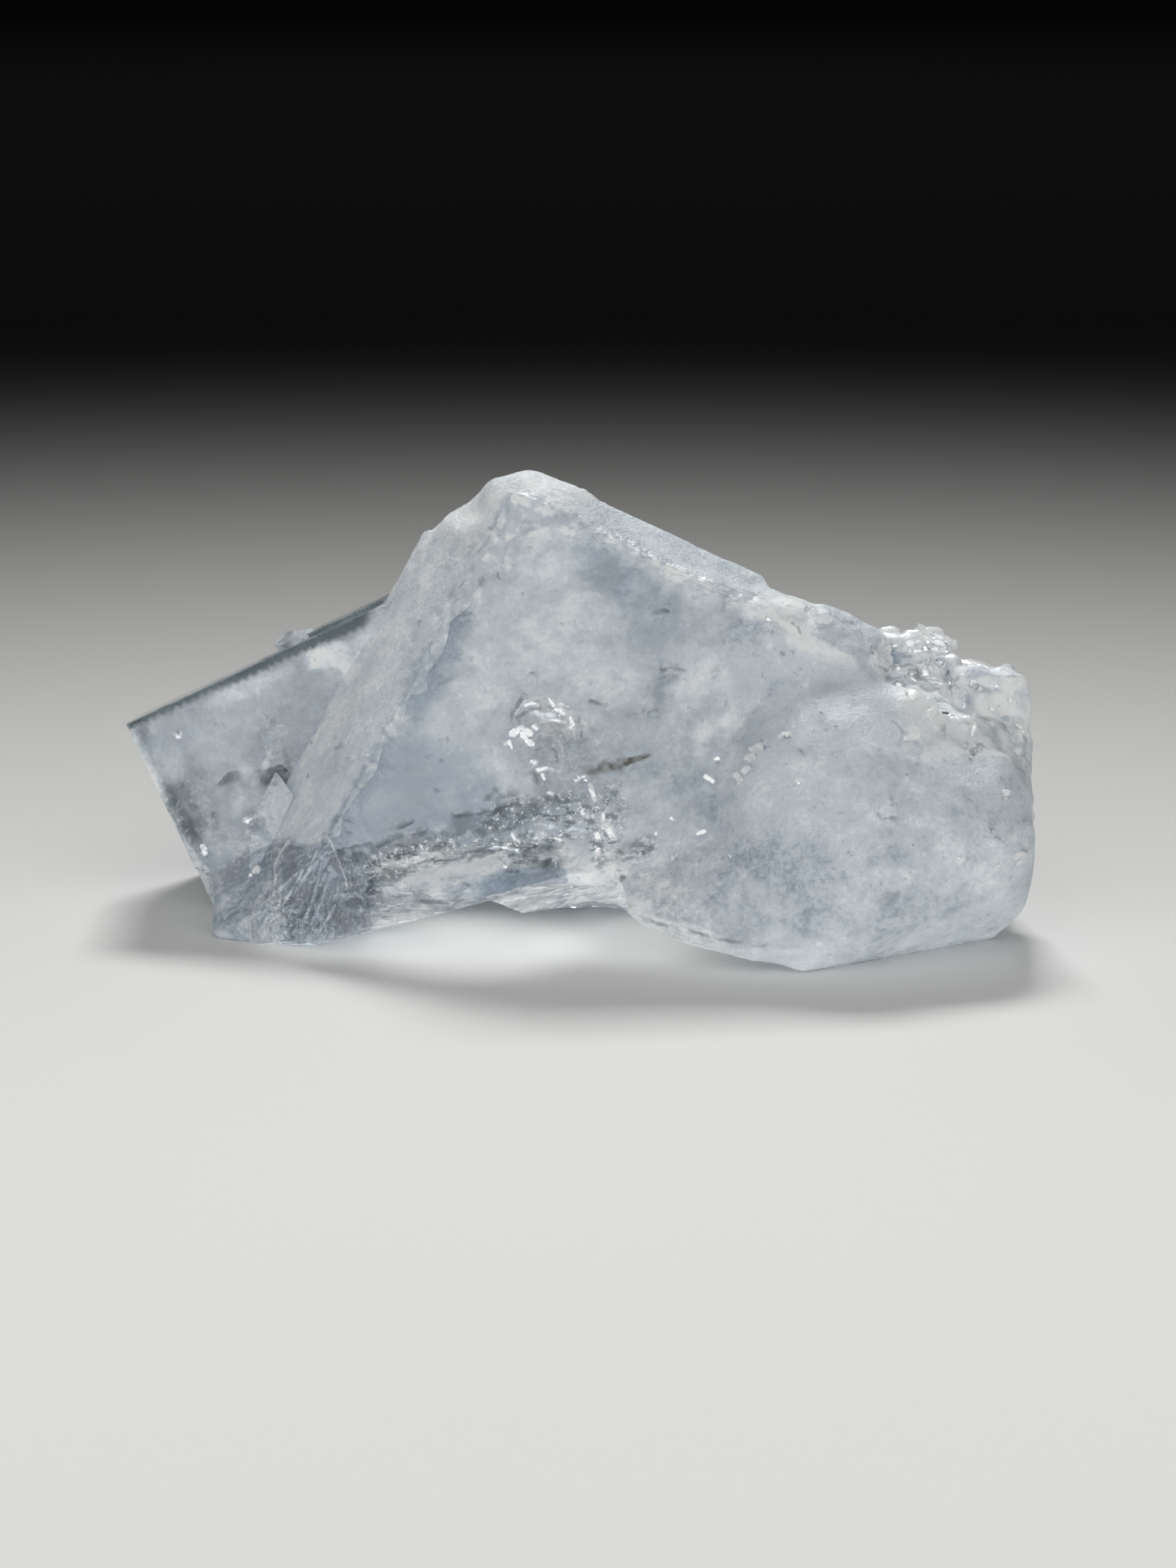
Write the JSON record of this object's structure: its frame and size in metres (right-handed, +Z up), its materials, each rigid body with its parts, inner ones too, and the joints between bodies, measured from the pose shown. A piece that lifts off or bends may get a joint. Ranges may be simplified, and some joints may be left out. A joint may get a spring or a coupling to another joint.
{
  "type": "fluorite specimen",
  "caption": "Pale blue clear fluorite crystal group: a bevelled cube grown together with a smaller cube and rounded lobes, for display on a flat surface",
  "frame": {"origin": "centre of the bounding box on the surface that the specimen rests on", "axes": "+X along the longest side, to the right seen from the front; +Y from the front to the back; +Z up"},
  "size_m": [0.0434, 0.0222, 0.0207],
  "materials": {
    "fluorite": "clear pale blue crystal, milky inside, frosted on the bevels"
  },
  "bodies": {
    "root": {"fluorite_crystals": "fluorite"}
  },
  "joints": []
}
